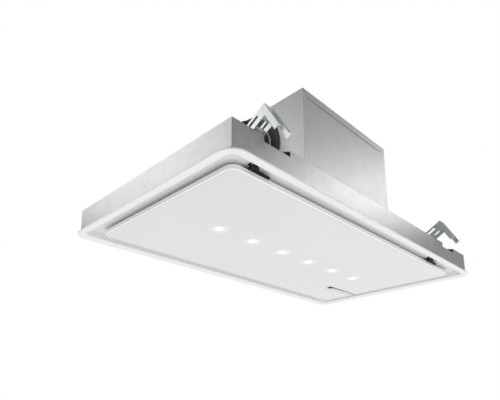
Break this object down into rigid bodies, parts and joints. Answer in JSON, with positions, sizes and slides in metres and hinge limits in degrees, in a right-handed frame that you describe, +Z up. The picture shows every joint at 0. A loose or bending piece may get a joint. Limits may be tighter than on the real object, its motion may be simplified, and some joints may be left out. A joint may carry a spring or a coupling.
{
  "type": "ceiling range hood",
  "caption": "Ceiling range hood: white trim frame and hinged glass cover with air gaps, spot lights and touch strip, steel body with ceiling clamps, raised motor box with a round duct collar.",
  "frame": {"origin": "centre of the ceiling cut-out, in the plane of the ceiling's lower face", "axes": "+X along the hood towards the controls, -Y towards the cover's hinges, +Z up into the ceiling"},
  "size_m": [0.9, 0.5428, 0.299],
  "materials": {
    "white_coated_steel": "smooth white powder coat, half gloss",
    "white_tray": "white powder coat, matt",
    "galvanised_steel": "galvanised sheet, soft grey sheen",
    "box_steel": "galvanised sheet with a fine mottle",
    "zinc_steel": "bright zinc plate on bent sheet",
    "bright_steel": "bright plated steel",
    "black_steel": "black coated steel, matt",
    "cast_aluminium": "cast aluminium, satin",
    "filter_aluminium": "folded aluminium, satin",
    "filter_mesh": "aluminium mesh pack",
    "white_glass": "white back painted glass, glossy and opaque",
    "frosted_lens": "frosted lens over a lamp",
    "white_plastic": "white plastic, half gloss",
    "grey_plastic": "grey plastic, matt",
    "dark_plastic": "dark grey plastic, matt",
    "black_plastic": "black plastic, matt",
    "pale_seal": "pale soft seal, matt",
    "board_laminate": "green circuit laminate",
    "ferrite": "dark ferrite magnet"
  },
  "bodies": {
    "housing": {"trim_frame": "white_coated_steel", "frame_rail": "white_tray", "recess_tray": "white_tray", "filter_tray": "white_tray", "housing_walls": "galvanised_steel", "top_plate": "galvanised_steel", "box_wrap": "box_steel", "box_front_panel": "box_steel", "box_back_panel": "box_steel", "duct_base": "dark_plastic", "duct_collar": "dark_plastic", "duct_seal": "pale_seal", "flap_pins": "bright_steel", "scroll_casing": "galvanised_steel", "inlet_rings": "galvanised_steel", "fan_motor": "cast_aluminium", "motor_bracket": "galvanised_steel", "fan_bracket": "galvanised_steel", "wiring_box": "grey_plastic", "wiring_lid": "grey_plastic", "circuit_board": "board_laminate", "capacitor": "white_plastic", "cable_gland": "black_plastic", "plenum_sleeve": "galvanised_steel", "filter_frame_left": "filter_aluminium", "filter_frame_right": "filter_aluminium", "filter_mesh_left": "filter_mesh", "filter_mesh_right": "filter_mesh", "hinge_brackets": "black_steel", "hinge_pins": "bright_steel", "cover_magnets": "ferrite", "clamp_screws": "bright_steel", "clamp_bases": "grey_plastic", "box_screws": "bright_steel"},
    "cover": {"hinge_leaves": "black_steel", "cover_glass": "white_glass", "cover_back": "white_tray", "light_lenses": "frosted_lens", "light_sinks": "cast_aluminium", "control_housing": "black_plastic", "control_strip": "white_plastic", "cover_strikes": "bright_steel"},
    "fan": {"fan_wheel": "grey_plastic", "fan_shaft": "bright_steel"},
    "flap_front": {"flap_front": "black_plastic"},
    "flap_back": {"flap_back": "black_plastic"},
    "filter_latch_left": {"filter_latch_left": "grey_plastic"},
    "filter_latch_right": {"filter_latch_right": "grey_plastic"},
    "key_power": {"key_power": "white_plastic"},
    "key_slower": {"key_slower": "white_plastic"},
    "key_faster": {"key_faster": "white_plastic"},
    "key_boost": {"key_boost": "white_plastic"},
    "key_light": {"key_light": "white_plastic"},
    "clamp_front_left": {"clamp_front_left": "zinc_steel", "clamp_nut_front_left": "bright_steel"},
    "clamp_front_right": {"clamp_front_right": "zinc_steel", "clamp_nut_front_right": "bright_steel"},
    "clamp_back_left": {"clamp_back_left": "zinc_steel", "clamp_nut_back_left": "bright_steel"},
    "clamp_back_right": {"clamp_back_right": "zinc_steel", "clamp_nut_back_right": "bright_steel"}
  },
  "joints": [
    {"name": "cover_hinge", "type": "hinge", "parent": "housing", "child": "cover", "pos_m": [0, -0.216, 0.01], "axis": [-1, 0, 0], "range_deg": [0, 90]},
    {"name": "fan_spin", "type": "hinge", "parent": "housing", "child": "fan", "pos_m": [0.05, 0, 0.162], "axis": [0, 1, 0], "continuous": true},
    {"name": "flap_front_hinge", "type": "hinge", "parent": "housing", "child": "flap_front", "pos_m": [-0.1855, -0.0035, 0.196], "axis": [0, 0, -1], "range_deg": [0, 80], "stiffness_Nm_per_rad": 0.01, "springref_deg": -5.73},
    {"name": "flap_back_hinge", "type": "hinge", "parent": "housing", "child": "flap_back", "pos_m": [-0.1855, 0.0035, 0.196], "axis": [0, 0, 1], "range_deg": [0, 80], "stiffness_Nm_per_rad": 0.01, "springref_deg": -5.73},
    {"name": "filter_latch_left_slide", "type": "slide", "parent": "housing", "child": "filter_latch_left", "axis": [0, 1, 0], "range_m": [0, 0.006], "stiffness_N_per_m": 150, "springref_m": -0.003},
    {"name": "filter_latch_right_slide", "type": "slide", "parent": "housing", "child": "filter_latch_right", "axis": [0, 1, 0], "range_m": [0, 0.006], "stiffness_N_per_m": 150, "springref_m": -0.003},
    {"name": "clamp_front_left_travel", "type": "slide", "parent": "housing", "child": "clamp_front_left", "axis": [0, 0, -1], "range_m": [0, 0.044]},
    {"name": "clamp_front_right_travel", "type": "slide", "parent": "housing", "child": "clamp_front_right", "axis": [0, 0, -1], "range_m": [0, 0.044]},
    {"name": "clamp_back_left_travel", "type": "slide", "parent": "housing", "child": "clamp_back_left", "axis": [0, 0, -1], "range_m": [0, 0.044]},
    {"name": "clamp_back_right_travel", "type": "slide", "parent": "housing", "child": "clamp_back_right", "axis": [0, 0, -1], "range_m": [0, 0.044]},
    {"name": "key_power_press", "type": "slide", "parent": "cover", "child": "key_power", "axis": [0, 0, 1], "range_m": [0, 0.0008], "stiffness_N_per_m": 60, "springref_m": -0.002},
    {"name": "key_slower_press", "type": "slide", "parent": "cover", "child": "key_slower", "axis": [0, 0, 1], "range_m": [0, 0.0008], "stiffness_N_per_m": 60, "springref_m": -0.002},
    {"name": "key_faster_press", "type": "slide", "parent": "cover", "child": "key_faster", "axis": [0, 0, 1], "range_m": [0, 0.0008], "stiffness_N_per_m": 60, "springref_m": -0.002},
    {"name": "key_boost_press", "type": "slide", "parent": "cover", "child": "key_boost", "axis": [0, 0, 1], "range_m": [0, 0.0008], "stiffness_N_per_m": 60, "springref_m": -0.002},
    {"name": "key_light_press", "type": "slide", "parent": "cover", "child": "key_light", "axis": [0, 0, 1], "range_m": [0, 0.0008], "stiffness_N_per_m": 60, "springref_m": -0.002}
  ]
}
